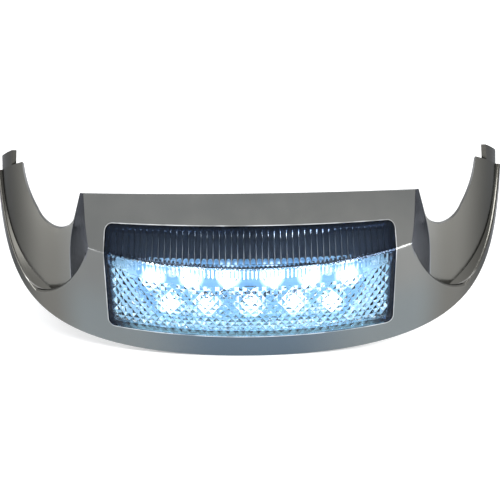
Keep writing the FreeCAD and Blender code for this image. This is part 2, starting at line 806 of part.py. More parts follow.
def mounting_studs():
    studs = []
    for side in (-1, 1):
        start, end = seat_y() - STUD_ROOT, seat_y() + STUD_LENGTH
        root = cylinder_y(STUD_ROOT_RADIUS, side * stud_x, STUD_Z, start, seat_y())
        shank = cylinder_y(STUD_RADIUS, side * stud_x, STUD_Z, seat_y(), end)
        tip = [edge for edge in shank.Edges if abs(edge.CenterOfMass.y - end) < 0.01]
        studs.append(root.fuse(shank.makeChamfer(STUD_TIP_CHAMFER, tip)))
    return Part.makeCompound(studs)


def wire_grommet():
    front, back = -base_front - GROMMET_FIT, -base_back + GROMMET_FIT
    start, end = front - GROMMET_FLANGE, back + GROMMET_FLANGE
    neck = cylinder_y(GROMMET_HOLE_RADIUS - GROMMET_FIT, 0, grommet_z, start, end)
    inner = cylinder_y(GROMMET_FLANGE_RADIUS, 0, grommet_z, start, front)
    outer = cylinder_y(GROMMET_FLANGE_RADIUS, 0, grommet_z, back, end)
    bore = cylinder_y(GROMMET_BORE_RADIUS, 0, grommet_z, start + GROMMET_SKIN, end)
    return neck.fuse([inner, outer]).cut(bore).removeSplitter()


def all_parts():
    parts = {
        "tip_housing": tip_housing(),
        "lens": lens(),
        "lens_gasket": lens_gasket(),
        "base_seal": base_seal(),
        "lamp_base": lamp_base(),
        "light_liner": light_liner(),
        "led_board": led_board(),
        "board_screws": board_screws(),
        "base_screws": base_screws(),
        "mounting_studs": mounting_studs(),
        "wire_grommet": wire_grommet(),
        "polarity_diode": board_chip(0, chip_z, DIODE_LENGTH, DIODE_WIDTH, DIODE_HEIGHT),
    }
    for number, x in enumerate(led_upper_places(), 1):
        parts[f"led_upper_{number}"] = led(x, led_upper_z)
    for number, x in enumerate(led_lower_places(), 1):
        parts[f"led_lower_{number}"] = led(x, led_lower_z)
    for number, x in enumerate(RESISTOR_X, 1):
        chip = board_chip(x, chip_z, RESISTOR_LENGTH, RESISTOR_WIDTH, RESISTOR_HEIGHT)
        parts[f"resistor_{number}"] = chip
    return parts


def main():
    os.makedirs("parts", exist_ok=True)
    # The origin lies midway between the studs, on the plane of their seats
    origin = Vector(0, seat_y(), STUD_Z)
    for name, shape in all_parts().items():
        shape.translate(origin * -1)
        shape.exportStep(f"parts/{name}.step")


if __name__ == "__main__":
    main()
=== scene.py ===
"""Looks of the fender tip light: plated shell, smoke lens, lit board, threaded studs and studio."""
import math

import bpy
from mathutils import Matrix, Vector


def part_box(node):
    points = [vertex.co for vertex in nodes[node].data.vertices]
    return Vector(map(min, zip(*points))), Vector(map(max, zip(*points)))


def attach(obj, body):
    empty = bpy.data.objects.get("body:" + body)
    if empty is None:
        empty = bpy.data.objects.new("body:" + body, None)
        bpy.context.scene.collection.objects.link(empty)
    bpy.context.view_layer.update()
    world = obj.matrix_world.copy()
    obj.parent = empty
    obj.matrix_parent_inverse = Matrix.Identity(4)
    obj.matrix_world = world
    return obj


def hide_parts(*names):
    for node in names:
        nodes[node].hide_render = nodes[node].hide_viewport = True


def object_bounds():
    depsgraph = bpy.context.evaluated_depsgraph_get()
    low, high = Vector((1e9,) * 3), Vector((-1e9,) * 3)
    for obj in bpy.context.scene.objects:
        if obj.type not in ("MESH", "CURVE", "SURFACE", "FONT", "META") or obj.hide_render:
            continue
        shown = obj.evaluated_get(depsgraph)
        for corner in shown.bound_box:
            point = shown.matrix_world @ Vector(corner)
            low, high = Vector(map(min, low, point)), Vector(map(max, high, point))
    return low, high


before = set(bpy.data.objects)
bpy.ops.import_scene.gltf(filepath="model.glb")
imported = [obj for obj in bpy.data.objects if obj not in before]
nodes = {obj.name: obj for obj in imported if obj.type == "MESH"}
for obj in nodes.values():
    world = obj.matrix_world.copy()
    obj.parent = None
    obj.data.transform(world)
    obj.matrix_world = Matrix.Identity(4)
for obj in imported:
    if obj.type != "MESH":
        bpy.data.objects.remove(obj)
cad_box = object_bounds()

MM = 0.001

# Places on the part that the finishes follow: x across, y towards the back, z up.
# A bowed line climbs with the square of the distance from the middle.

LENS_RIDGE_UP, LENS_RIDGE_BOW = 5.0 * MM, 1.28
LENS_FOOT_UP, LENS_FOOT_BOW = -23.7 * MM, 0.68
WINDOW_TOP = 18.2 * MM
WINDOW_CORNER = 2.8 * MM
WINDOW_CORNER_OUT = 51.4 * MM

BOSS_SIDE_OUT, BOSS_SIDE_DRAFT = 68.43 * MM, 0.4286
BOSS_KNEE_UP, BOSS_LEAN = 10 * MM, 0.2867
BOSS_KNEE_REACH, BOSS_KNEE_SOFTNESS = 9.8 * MM, 140 * MM
SCOOP_OUT, SCOOP_BACK, SCOOP_UP = 76 * MM, 3.34 * MM, 7.2 * MM
SCOOP_RADIUS = 16.5 * MM
SCOOP_FALL_COS, SCOOP_FALL_SIN = 0.891, 0.454

UPPER_ROW_UP, UPPER_ROW_START, UPPER_ROW_STEP = -1.5 * MM, 8.0 * MM, 14.0 * MM
LOWER_ROW_UP, LOWER_ROW_INNER, LOWER_ROW_OUTER = -11.4 * MM, 16.2 * MM, 30.0 * MM
RESISTOR_PAIR_OUT, RESISTOR_HALF_STEP = 11.5 * MM, 3.5 * MM

UNLIT = (0.0, 0.0, 0.0, 1)


# Node helpers

def add(tree, kind, inputs=None, **settings):
    """Adds a node, sets its properties and feeds its inputs from values or sockets."""
    made = tree.nodes.new(kind)
    for key, value in settings.items():
        setattr(made, key, value)
    for socket, source in (inputs or {}).items():
        if isinstance(source, bpy.types.NodeSocket):
            tree.links.new(source, made.inputs[socket])
        else:
            made.inputs[socket].default_value = source
    return made


def calc(tree, operation, first, second=0.0, third=0.0, clamp=False):
    sockets = {0: first, 1: second, 2: third}
    made = add(tree, "ShaderNodeMath", sockets, operation=operation, use_clamp=clamp)
    return made.outputs[0]


def squared(tree, value):
    return calc(tree, "MULTIPLY", value, value)


def apart(tree, first, second):
    return calc(tree, "ABSOLUTE", calc(tree, "SUBTRACT", first, second))


def slant(tree, first, second):
    """Length of the slanting side that goes with two square ones."""
    return calc(tree, "SQRT", calc(tree, "ADD", squared(tree, first), squared(tree, second)))


def bowed(tree, across, up, bow):
    """Height of a bowed line at a place across."""
    return calc(tree, "MULTIPLY_ADD", squared(tree, across), bow, up)


def ramp(tree, value, low, high, out_low=0.0, out_high=1.0):
    """Smooth step of value from low to high, written out between out_low and out_high."""
    sockets = {"Value": value, "From Min": low, "From Max": high, "To Min": out_low, "To Max": out_high}
    return add(tree, "ShaderNodeMapRange", sockets, interpolation_type="SMOOTHSTEP").outputs[0]


def blend_colour(tree, factor, first, second):
    made = add(tree, "ShaderNodeMix", data_type="RGBA")
    for name, source in (("Factor_Float", factor), ("A_Color", first), ("B_Color", second)):
        socket = next(s for s in made.inputs if s.identifier == name)
        if isinstance(source, bpy.types.NodeSocket):
            tree.links.new(source, socket)
        else:
            socket.default_value = source
    return next(s for s in made.outputs if s.identifier == "Result_Color")


def object_place(tree):
    return add(tree, "ShaderNodeTexCoord").outputs["Object"]


def place_parts(tree):
    parts = add(tree, "ShaderNodeSeparateXYZ", {0: object_place(tree)})
    return parts.outputs[0], parts.outputs[1], parts.outputs[2]


def speckle(tree, scale, detail=3.0, roughness=0.55):
    sockets = {"Vector": object_place(tree), "Scale": scale, "Detail": detail, "Roughness": roughness}
    return add(tree, "ShaderNodeTexNoise", sockets).outputs[0]


def pebbles(tree, scale):
    """Distance from the middle of the nearest pebble."""
    sockets = {"Vector": object_place(tree), "Scale": scale}
    return add(tree, "ShaderNodeTexVoronoi", sockets).outputs["Distance"]


def bump(tree, height, strength, distance):
    sockets = {"Height": height, "Strength": strength, "Distance": distance}
    return add(tree, "ShaderNodeBump", sockets).outputs[0]


def seen_rays(tree):
    """1 for rays from the camera, off a polished face or through the lens, 0 for the light that spreads."""
    path = add(tree, "ShaderNodeLightPath").outputs
    seen = calc(tree, "MAXIMUM", path["Is Camera Ray"], path["Is Glossy Ray"])
    return calc(tree, "MAXIMUM", seen, path["Is Transmission Ray"])


# Shared effects

def new_group(name, inputs, outputs):
    """Shader group with named inputs (name, default) and named outputs (name, socket type)."""
    group = bpy.data.node_groups.new(name, "ShaderNodeTree")
    for label, default in inputs:
        kind = "NodeSocketColor" if isinstance(default, tuple) else "NodeSocketFloat"
        socket = group.interface.new_socket(name=label, in_out="INPUT", socket_type=kind)
        socket.default_value = default
    for label, kind in outputs:
        group.interface.new_socket(name=label, in_out="OUTPUT", socket_type=kind)
    entry = group.nodes.new("NodeGroupInput")
    leave = group.nodes.new("NodeGroupOutput")
    return group, entry.outputs, leave.inputs


def use_group(tree, group, **inputs):
    made = tree.nodes.new("ShaderNodeGroup")
    made.node_tree = group
    for name, value in inputs.items():
        made.inputs[name.replace("_", " ")].default_value = value
    return made.outputs


def make_haze_group():
    """Cloudy film on a surface: colour drifting between two tones, and roughness with it."""
    group, given, result = new_group(
        "handling_haze",
        [("Tone", (0.5, 0.5, 0.5, 1.0)), ("Film", (0.5, 0.5, 0.5, 1.0)), ("Scale", 60.0),
         ("Clean Roughness", 0.1), ("Film Roughness", 0.2)],
        [("Color", "NodeSocketColor"), ("Roughness", "NodeSocketFloat")],
    )
    amount = ramp(group, speckle(group, given["Scale"], detail=4.0, roughness=0.6), 0.35, 0.68)
    group.links.new(blend_colour(group, amount, given["Tone"], given["Film"]), result["Color"])
    spread = add(group, "ShaderNodeMapRange", {
        "Value": amount, "To Min": given["Clean Roughness"], "To Max": given["Film Roughness"]})
    group.links.new(spread.outputs[0], result["Roughness"])
    return group


def make_grain_group():
    """Fine moulded grain as a height, from two sizes of noise."""
    group, given, result = new_group(
        "moulded_grain",
        [("Coarse Scale", 900.0), ("Fine Scale", 3200.0)],
        [("Height", "NodeSocketFloat")],
    )
    coarse = speckle(group, given["Coarse Scale"], detail=2.0)
    fine = speckle(group, given["Fine Scale"], detail=2.0)
    height = calc(group, "ADD", coarse, calc(group, "MULTIPLY", fine, 0.5))
    group.links.new(height, result["Height"])
    return group


def make_glow_group():
    """Painted light spilled round the two rows of emitters, 1 at an emitter and 0 far from all of them."""
    group, given, result = new_group(
        "emitter_glow",
        [("Core", 2.6 * MM), ("Reach", 8.0 * MM)],
        [("Glow", "NodeSocketFloat")],
    )
    across, _, up = place_parts(group)
    out = calc(group, "ABSOLUTE", across)
    upper_run = calc(group, "PINGPONG", calc(group, "SUBTRACT", out, UPPER_ROW_START), UPPER_ROW_STEP / 2)
    outer_pairs = calc(group, "MINIMUM", apart(group, out, LOWER_ROW_INNER), apart(group, out, LOWER_ROW_OUTER))
    lower_run = calc(group, "MINIMUM", out, outer_pairs)
    from_upper = slant(group, upper_run, calc(group, "SUBTRACT", up, UPPER_ROW_UP))
    from_lower = slant(group, lower_run, calc(group, "SUBTRACT", up, LOWER_ROW_UP))
    nearest = calc(group, "MINIMUM", from_upper, from_lower)
    glow = ramp(group, nearest, given["Core"], given["Reach"], 1.0, 0.0)
    group.links.new(glow, result["Glow"])
    return group


handling_haze = make_haze_group()
moulded_grain = make_grain_group()
emitter_glow = make_glow_group()


# Finishes

def new_finish(name):
    """Empty material with a Principled shader joined to its output."""
    finish = bpy.data.materials.new(name)
    finish.use_nodes = True
    tree = finish.node_tree
    tree.nodes.clear()
    shader = add(tree, "ShaderNodeBsdfPrincipled")
    add(tree, "ShaderNodeOutputMaterial", {"Surface": shader.outputs[0]})
    return finish, tree, shader


def haze_finish(name, tone, film, scale, clean, filmed, metallic=0.0):
    """Finish whose colour and roughness drift with the handling haze."""
    finish, tree, shader = new_finish(name)
    haze = use_group(tree, handling_haze, Tone=tone, Film=film, Scale=scale,
                     Clean_Roughness=clean, Film_Roughness=filmed)
    tree.links.new(haze["Color"], shader.inputs["Base Color"])
    tree.links.new(haze["Roughness"], shader.inputs["Roughness"])
    shader.inputs["Metallic"].default_value = metallic
    return finish, tree, shader


def grained_finish(name, tone, film, scale, clean, filmed, coarse, fine, strength, distance):
    """Hazy finish with the moulded grain on it."""
    finish, tree, shader = haze_finish(name, tone, film, scale, clean, filmed)
    grain = use_group(tree, moulded_grain, Coarse_Scale=coarse, Fine_Scale=fine)
    tree.links.new(bump(tree, grain["Height"], strength, distance), shader.inputs["Normal"])
    return finish


def base_tone(shader):
    return shader.inputs["Base Color"].links[0].from_socket


def glow_with(tree, shader, colour, strength):
    tree.links.new(colour, shader.inputs["Emission Color"])
    shader.inputs["Emission Strength"].default_value = strength


def boss_side_mask(tree, out, along, up):
    """1 on the drafted sides of the lamp boss over the crest of the scoop, 0 elsewhere."""
    drafted = calc(tree, "MULTIPLY_ADD", along, BOSS_SIDE_DRAFT, BOSS_SIDE_OUT)
    over_knee = calc(tree, "SUBTRACT", up, BOSS_KNEE_UP)
    lean = calc(tree, "MULTIPLY", calc(tree, "MAXIMUM", over_knee, 0.0), BOSS_LEAN)
    near_knee = calc(tree, "SUBTRACT", BOSS_KNEE_REACH, calc(tree, "ABSOLUTE", over_knee))
    round_off = squared(tree, calc(tree, "MAXIMUM", near_knee, 0.0))
    round_off = calc(tree, "DIVIDE", round_off, BOSS_KNEE_SOFTNESS)
    side = calc(tree, "SUBTRACT", calc(tree, "SUBTRACT", drafted, lean), round_off)
    on_side = ramp(tree, apart(tree, out, side), 0.22 * MM, 0.1 * MM)
    over_crest = ramp(tree, calc(tree, "MULTIPLY_ADD", out, 1.5, up), 97 * MM, 98 * MM)
    return calc(tree, "MULTIPLY", on_side, over_crest)


def scoop_mask(tree, out, along, up):
    """1 on the round floor of the scoop beside the boss, 0 elsewhere."""
    beside = calc(tree, "SUBTRACT", out, SCOOP_OUT)
    drop = calc(tree, "MULTIPLY", calc(tree, "SUBTRACT", up, SCOOP_UP), SCOOP_FALL_COS)
    drop = calc(tree, "MULTIPLY_ADD", calc(tree, "SUBTRACT", along, SCOOP_BACK), SCOOP_FALL_SIN, drop)
    on_floor = ramp(tree, apart(tree, slant(tree, beside, drop), SCOOP_RADIUS), 0.3 * MM, 0.1 * MM)
    clear_of_boss = ramp(tree, beside, -6 * MM, -3 * MM)
    low_down = ramp(tree, drop, -8 * MM, -11 * MM)
    return calc(tree, "MULTIPLY", calc(tree, "MULTIPLY", on_floor, clear_of_boss), low_down)


def window_edge_highlight_mask(tree, across, out, up):
    """Patchy mask of the painted highlight along the edge round the lens window, a bowed rectangle with round
    corners.
    """
    foot = bowed(tree, across, LENS_FOOT_UP, LENS_FOOT_BOW)
    middle = calc(tree, "MULTIPLY", calc(tree, "ADD", foot, WINDOW_TOP), 0.5)
    half = calc(tree, "SUBTRACT", WINDOW_TOP - WINDOW_CORNER, middle)
    past_side = calc(tree, "MAXIMUM", calc(tree, "SUBTRACT", out, WINDOW_CORNER_OUT), 0.0)
    past_end = calc(tree, "MAXIMUM", calc(tree, "SUBTRACT", apart(tree, up, middle), half), 0.0)
    edge = ramp(tree, slant(tree, past_side, past_end), 3.12 * MM, 3.02 * MM)
    # Noise breaks the painted highlight into patches.
    patchy = ramp(tree, speckle(tree, 60.0), 0.4, 0.62, 0.25, 1.0)
    return calc(tree, "MULTIPLY", edge, patchy)


def plated_shell_finish():
    """Smoky bright plating with painted reflection and shade in its tone: cooler low down, warmer along the
    wings and darker to their ends, a duller painted shade on the drafted boss sides, a lighter scoop floor and
    a painted highlight round the lens window.
    """
    finish, tree, shader = haze_finish(
        "plated_shell", tone=(0.170, 0.176, 0.174, 1), film=(0.198, 0.202, 0.196, 1), scale=22.0,
        clean=0.2, filmed=0.27, metallic=1.0)
    low_reflection_middle, low_reflection_side = (0.104, 0.138, 0.172, 1), (0.185, 0.206, 0.212, 1)
    wing_reflection, wing_end_reflection = (0.140, 0.138, 0.127, 1), (0.052, 0.051, 0.046, 1)
    side_shade_foot, side_shade_top = (0.262, 0.274, 0.300, 1), (0.046, 0.049, 0.057, 1)
    scoop_painted_light, painted_edge_highlight = (0.27, 0.268, 0.26, 1), (0.80, 0.83, 0.86, 1)
    across, along, up = place_parts(tree)
    out = calc(tree, "ABSOLUTE", across)
    # Painted reflection: the lower band takes a cooler, bluer tone, bluest in the middle.
    low = blend_colour(tree, ramp(tree, out, 10 * MM, 48 * MM), low_reflection_middle, low_reflection_side)
    tone = blend_colour(tree, ramp(tree, up, 2 * MM, -18 * MM), base_tone(shader), low)
    # Painted reflection: a warmer tone along the wings that darkens out to the wing ends.
    tone = blend_colour(tree, ramp(tree, out, 62 * MM, 78 * MM), tone, wing_reflection)
    tone = blend_colour(tree, ramp(tree, out, 80 * MM, 98 * MM), tone, wing_end_reflection)
    # Painted shade on the drafted boss sides: light at the foot, nearly black at the top.
    side_shade = blend_colour(tree, ramp(tree, up, -10 * MM, 24 * MM), side_shade_foot, side_shade_top)
    tone = blend_colour(tree, boss_side_mask(tree, out, along, up), tone, side_shade)
    # Painted light: a lighter tone on the scoop floor lifts its dark reflected shade.
    tone = blend_colour(tree, scoop_mask(tree, out, along, up), tone, scoop_painted_light)
    # Painted highlight: a bright patchy line along the edge round the lens window.
    tone = blend_colour(tree, window_edge_highlight_mask(tree, across, out, up), tone, painted_edge_highlight)
    tree.links.new(tone, shader.inputs["Base Color"])
    shader.inputs["Specular Tint"].default_value = (0.55, 0.56, 0.58, 1)
    ripple = speckle(tree, 240.0, detail=2.0)
    tree.links.new(bump(tree, ripple, strength=0.06, distance=0.3 * MM), shader.inputs["Normal"])
    return finish


def lens_relief(tree, across, out, above_ridge):
    """Bumped normal of the lens: streaks just under the flutes, a pebbled skin at the ends and low down."""
    streaks = calc(tree, "PINGPONG", across, 0.8 * MM)
    waist = calc(tree, "MULTIPLY", ramp(tree, above_ridge, -4.8 * MM, -3.6 * MM),
                 ramp(tree, above_ridge, 0.0, -1.0 * MM))
    ends = ramp(tree, out, 38 * MM, 42 * MM, 0.0, 0.45)
    below = ramp(tree, above_ridge, -7.0 * MM, -9.0 * MM, 0.0, 0.42)
    pebbled = calc(tree, "MULTIPLY", calc(tree, "MAXIMUM", ends, below),
                   ramp(tree, above_ridge, 0.0, -0.6 * MM))
    pebble = calc(tree, "MULTIPLY", pebbles(tree, 400.0), 1.3 * MM)
    relief = calc(tree, "MULTIPLY_ADD", pebble, pebbled, calc(tree, "MULTIPLY", streaks, waist))
    return bump(tree, relief, strength=0.35, distance=1.0)


def smoke_lens_finish():
    """Clear moulding: pale over the prisms, darker over the flutes, deep navy round the border, with painted
    light that pales the ends and lights the toothed foot, and painted shade at the ends under the ridge.
    """
    finish, tree, shader = new_finish("smoke_lens")
    painted_light_end, shaded_end = (0.84, 0.94, 0.98, 1), (0.34, 0.44, 0.52, 1)
    flute, border = (0.40, 0.47, 0.56, 1), (0.09, 0.14, 0.24, 1)
    foot, foot_light = (0.64, 0.80, 0.92, 1), (0.10, 0.19, 0.24, 1)
    across, _, up = place_parts(tree)
    out = calc(tree, "ABSOLUTE", across)
    above_ridge = calc(tree, "SUBTRACT", up, bowed(tree, across, LENS_RIDGE_UP, LENS_RIDGE_BOW))
    above_foot = calc(tree, "SUBTRACT", up, bowed(tree, across, LENS_FOOT_UP, LENS_FOOT_BOW))
    haze = use_group(tree, handling_haze, Tone=(0.84, 0.92, 1.0, 1), Film=(0.78, 0.88, 0.97, 1), Scale=45.0,
                     Clean_Roughness=0.012, Film_Roughness=0.04)
    # Painted light and shade at the lens ends: a paler tint brightens the ends, and a darker one shades them
    # just under the ridge.
    far_out = ramp(tree, out, 38 * MM, 51 * MM)
    tint = blend_colour(tree, far_out, haze["Color"], painted_light_end)
    under_ridge = calc(tree, "MULTIPLY", far_out, ramp(tree, above_ridge, -7.0 * MM, -2.5 * MM))
    tint = blend_colour(tree, under_ridge, tint, shaded_end)
    clear_foot = ramp(tree, out, 46 * MM, 12 * MM, 0.0, 1.7 * MM)
    flutes = ramp(tree, calc(tree, "SUBTRACT", above_ridge, clear_foot), -2.6 * MM, 0.8 * MM)
    tint = blend_colour(tree, flutes, tint, flute)
    teeth = calc(tree, "MULTIPLY_ADD", calc(tree, "PINGPONG", across, 1.45 * MM), 1.1, 0.9 * MM)
    toothed = ramp(tree, calc(tree, "SUBTRACT", above_foot, teeth), 0.4 * MM, -0.1 * MM)
    tint = blend_colour(tree, toothed, tint, foot)
    edge = calc(tree, "MAXIMUM", ramp(tree, out, 51.0 * MM, 52.2 * MM), ramp(tree, up, 15.0 * MM, 15.8 * MM))
    tree.links.new(blend_colour(tree, edge, tint, border), shader.inputs["Base Color"])
    tree.links.new(haze["Roughness"], shader.inputs["Roughness"])
    # Painted light: the toothed foot glows in the middle of the lens and fades out to the ends; the border
    # gives no light.
    lit_foot = calc(tree, "MULTIPLY", toothed, ramp(tree, out, 50 * MM, 40 * MM))
    light = blend_colour(tree, lit_foot, UNLIT, foot_light)
    glow_with(tree, shader, blend_colour(tree, edge, light, UNLIT), 1.0)
    tree.links.new(lens_relief(tree, across, out, above_ridge), shader.inputs["Normal"])
    shader.inputs["Transmission Weight"].default_value = 1.0
    shader.inputs["IOR"].default_value = 1.58
    shader.inputs["Specular IOR Level"].default_value = 0.2
    shader.inputs["Specular Tint"].default_value = (0.2, 0.28, 0.44, 1)
    return finish


def seal_rubber_finish():
    return grained_finish(
        "seal_rubber", tone=(0.018, 0.018, 0.02, 1), film=(0.045, 0.045, 0.048, 1), scale=320.0,
        clean=0.62, filmed=0.85, coarse=1500.0, fine=4200.0, strength=0.25, distance=0.1 * MM)


def base_moulding_finish():
    return grained_finish(
        "base_moulding", tone=(0.022, 0.023, 0.027, 1), film=(0.05, 0.052, 0.06, 1), scale=70.0,
        clean=0.42, filmed=0.6, coarse=1100.0, fine=3600.0, strength=0.3, distance=0.12 * MM)


def board_mask_finish():
    """Blue solder mask with faint copper lanes, with a painted glow from the emitters that stand on it."""
    finish, tree, shader = new_finish("board_mask")
    _, _, up = place_parts(tree)
    lanes = ramp(tree, calc(tree, "PINGPONG", up, 1.6 * MM), 0.55 * MM, 0.75 * MM)
    mottle = speckle(tree, 220.0)
    tone = blend_colour(tree, mottle, (0.22, 0.38, 0.56, 1), (0.27, 0.44, 0.62, 1))
    shaded = blend_colour(tree, calc(tree, "MULTIPLY", lanes, 0.35), tone, (0.16, 0.32, 0.50, 1))
    tree.links.new(shaded, shader.inputs["Base Color"])
    tree.links.new(ramp(tree, mottle, 0.3, 0.7, 0.3, 0.45), shader.inputs["Roughness"])
    tree.links.new(bump(tree, lanes, strength=0.2, distance=0.04 * MM), shader.inputs["Normal"])
    # Painted light: the board glows blue-white round each emitter, fading to a dim blue between them.
    near = use_group(tree, emitter_glow, Core=2.6 * MM, Reach=5.3 * MM)["Glow"]
    glow_with(tree, shader, blend_colour(tree, near, (0.03, 0.085, 0.16, 1), (0.80, 0.93, 1.0, 1)), 2.7)
    return finish


def light_liner_finish():
    """Pale sheet behind the board with a painted blue-white glow and painted glints that light the ends of the
    lens.
    """
    finish, tree, shader = new_finish("light_liner")
    mottle = speckle(tree, 160.0)
    tree.links.new(blend_colour(tree, mottle, (0.30, 0.44, 0.64, 1), (0.38, 0.52, 0.72, 1)),
                   shader.inputs["Base Color"])
    tree.links.new(ramp(tree, mottle, 0.3, 0.7, 0.4, 0.6), shader.inputs["Roughness"])
    near = use_group(tree, emitter_glow, Core=4.0 * MM, Reach=20.0 * MM)["Glow"]
    # Painted light: the sheet glows blue, brighter near the emitters, with painted glints scattered over it.
    painted_spill = blend_colour(tree, near, (0.15, 0.25, 0.29, 1), (0.26, 0.44, 0.54, 1))
    painted_glint = ramp(tree, pebbles(tree, 380.0), 0.42, 0.26)
    glow_with(tree, shader, blend_colour(tree, painted_glint, painted_spill, (0.75, 0.90, 0.98, 1)), 1.25)
    return finish


def white_nylon_finish():
    """Milky screws with a painted blue glow for the light of the board round them."""
    finish, tree, shader = haze_finish(
        "white_nylon", tone=(0.78, 0.82, 0.86, 1), film=(0.86, 0.88, 0.90, 1), scale=700.0,
        clean=0.35, filmed=0.5)
    # Painted light: a faint blue glow on the screws.
    cloud = speckle(tree, 900.0)
    glow_with(tree, shader, blend_colour(tree, cloud, (0.10, 0.20, 0.42, 1), (0.16, 0.28, 0.52, 1)), 1.0)
    return finish


def zinc_steel_finish():
    return haze_finish(
        "zinc_steel", tone=(0.56, 0.56, 0.54, 1), film=(0.42, 0.42, 0.41, 1), scale=420.0,
        clean=0.26, filmed=0.45, metallic=1.0)[0]


def solder_finish():
    return haze_finish(
        "solder", tone=(0.62, 0.62, 0.6, 1), film=(0.45, 0.45, 0.44, 1), scale=1500.0,
        clean=0.18, filmed=0.4, metallic=1.0)[0]


def diode_body_finish():
    """Black package with a pale polarity band at one end."""
    finish, tree, shader = haze_finish(
        "diode_body", tone=(0.02, 0.02, 0.022, 1), film=(0.05, 0.05, 0.05, 1), scale=900.0,
        clean=0.4, filmed=0.6)
    across, _, _ = place_parts(tree)
    band = calc(tree, "MULTIPLY", ramp(tree, across, 1.1 * MM, 1.15 * MM),
                ramp(tree, across, 1.75 * MM, 1.7 * MM))
    tree.links.new(blend_colour(tree, band, base_tone(shader), (0.6, 0.6, 0.6, 1)), shader.inputs["Base Color"])
    return finish


def resistor_body_finish():
    """Dark glazed chips with tinned ends; the four sit at even steps about the middle."""
    finish, tree, shader = haze_finish(
        "resistor_body", tone=(0.02, 0.02, 0.022, 1), film=(0.06, 0.06, 0.065, 1), scale=1200.0,
        clean=0.25, filmed=0.5)
    across, _, _ = place_parts(tree)
    from_pair = apart(tree, calc(tree, "ABSOLUTE", across), RESISTOR_PAIR_OUT)
    tinned = ramp(tree, apart(tree, from_pair, RESISTOR_HALF_STEP), 1.05 * MM, 1.15 * MM)
    tin = (0.62, 0.62, 0.6, 1)
    tree.links.new(blend_colour(tree, tinned, base_tone(shader), tin), shader.inputs["Base Color"])
    tree.links.new(tinned, shader.inputs["Metallic"])
    return finish


def lit_finish(name, scale, tones, roughness, lights, strength):
    """Grainy finish that gives light: two tones, a range of roughness and two colours of light."""
    finish, tree, shader = new_finish(name)
    grain = speckle(tree, scale)
    tree.links.new(blend_colour(tree, grain, *tones), shader.inputs["Base Color"])
    tree.links.new(ramp(tree, grain, 0.3, 0.7, *roughness), shader.inputs["Roughness"])
    glow_with(tree, shader, blend_colour(tree, grain, *lights), strength)
    return finish


def led_package_finish():
    """White reflector package that glows from its own light."""
    return lit_finish(
        "led_package", scale=1500.0, tones=((0.86, 0.89, 0.92, 1), (0.93, 0.95, 0.97, 1)),
        roughness=(0.35, 0.5), lights=((0.72, 0.86, 1.0, 1), (0.8, 0.92, 1.0, 1)), strength=1.6)


def lit_window_finish():
    """Lit phosphor window of an emitter."""
    return lit_finish(
        "lit_window", scale=2600.0, tones=((0.95, 0.93, 0.72, 1), (1.0, 0.98, 0.84, 1)),
        roughness=(0.25, 0.45), lights=((0.86, 0.94, 1.0, 1), (0.93, 0.98, 1.0, 1)), strength=9.0)


finishes = {
    "plated_shell": plated_shell_finish(),
    "smoke_lens": smoke_lens_finish(),
    "seal_rubber": seal_rubber_finish(),
    "base_moulding": base_moulding_finish(),
    "light_liner": light_liner_finish(),
    "board_mask": board_mask_finish(),
    "white_nylon": white_nylon_finish(),
    "zinc_steel": zinc_steel_finish(),
    "diode_body": diode_body_finish(),
    "resistor_body": resistor_body_finish(),
    "led_package": led_package_finish(),
    "lit_window": lit_window_finish(),
    "solder": solder_finish(),
}

node_finish = {
    "tip_housing": "plated_shell",
    "lens": "smoke_lens",
    "lens_gasket": "seal_rubber",
    "base_seal": "seal_rubber",
    "wire_grommet": "seal_rubber",
    "lamp_base": "base_moulding",
    "light_liner": "light_liner",
    "led_board": "board_mask",
    "board_screws": "white_nylon",
    "base_screws": "zinc_steel",
    "mounting_studs": "zinc_steel",
    "polarity_diode": "diode_body",
}
led_names = sorted(name for name in nodes if name.startswith("led_") and name != "led_board")
chip_names = sorted(name for name in nodes if name.startswith("resistor_"))
for name in led_names:
    node_finish[name] = "led_package"
for name in chip_names:
    node_finish[name] = "resistor_body"
for name, finish in node_finish.items():
    mesh = nodes[name].data
    mesh.materials.clear()
    mesh.materials.append(finishes[finish])


# Geometry Nodes pieces

def new_tree(name, inputs):
    """Geometry tree with named size inputs; returns the tree, its inputs and its output."""
    tree = bpy.data.node_groups.new(name, "GeometryNodeTree")
    tree.interface.new_socket(name="Geometry", in_out="INPUT", socket_type="NodeSocketGeometry")
    for label in inputs:
        kind = "NodeSocketMaterial" if label == "Finish" else "NodeSocketFloat"
        tree.interface.new_socket(name=label, in_out="INPUT", socket_type=kind)
    tree.interface.new_socket(name="Geometry", in_out="OUTPUT", socket_type="NodeSocketGeometry")
    entry = tree.nodes.new("NodeGroupInput")
    leave = tree.nodes.new("NodeGroupOutput")
    return tree, entry.outputs, leave.inputs[0]


def close_tree(tree, shape, given, result):
    """Realizes the copies, shades them smooth and gives them their finish."""
    real = add(tree, "GeometryNodeRealizeInstances", {0: shape})
    smooth = add(tree, "GeometryNodeSetShadeSmooth", {"Geometry": real.outputs[0]})
    dressed = add(tree, "GeometryNodeSetMaterial",
                  {"Geometry": smooth.outputs[0], "Material": given["Finish"]})
    tree.links.new(dressed.outputs[0], result)


def beads_tree():
    """Flattened beads set on every point of the piece."""
    tree, given, result = new_tree("beads_on_places", ["Across", "Deep", "High", "Finish"])
    ball = add(tree, "GeometryNodeMeshUVSphere", {"Segments": 20, "Rings": 10, "Radius": 1.0})
    size = add(tree, "ShaderNodeCombineXYZ", {0: given["Across"], 1: given["Deep"], 2: given["High"]})
    shape = add(tree, "GeometryNodeTransform", {"Geometry": ball.outputs["Mesh"], "Scale": size.outputs[0]})
    copies = add(tree, "GeometryNodeInstanceOnPoints",
                 {"Points": given["Geometry"], "Instance": shape.outputs[0]})
    close_tree(tree, copies.outputs[0], given, result)
    return tree


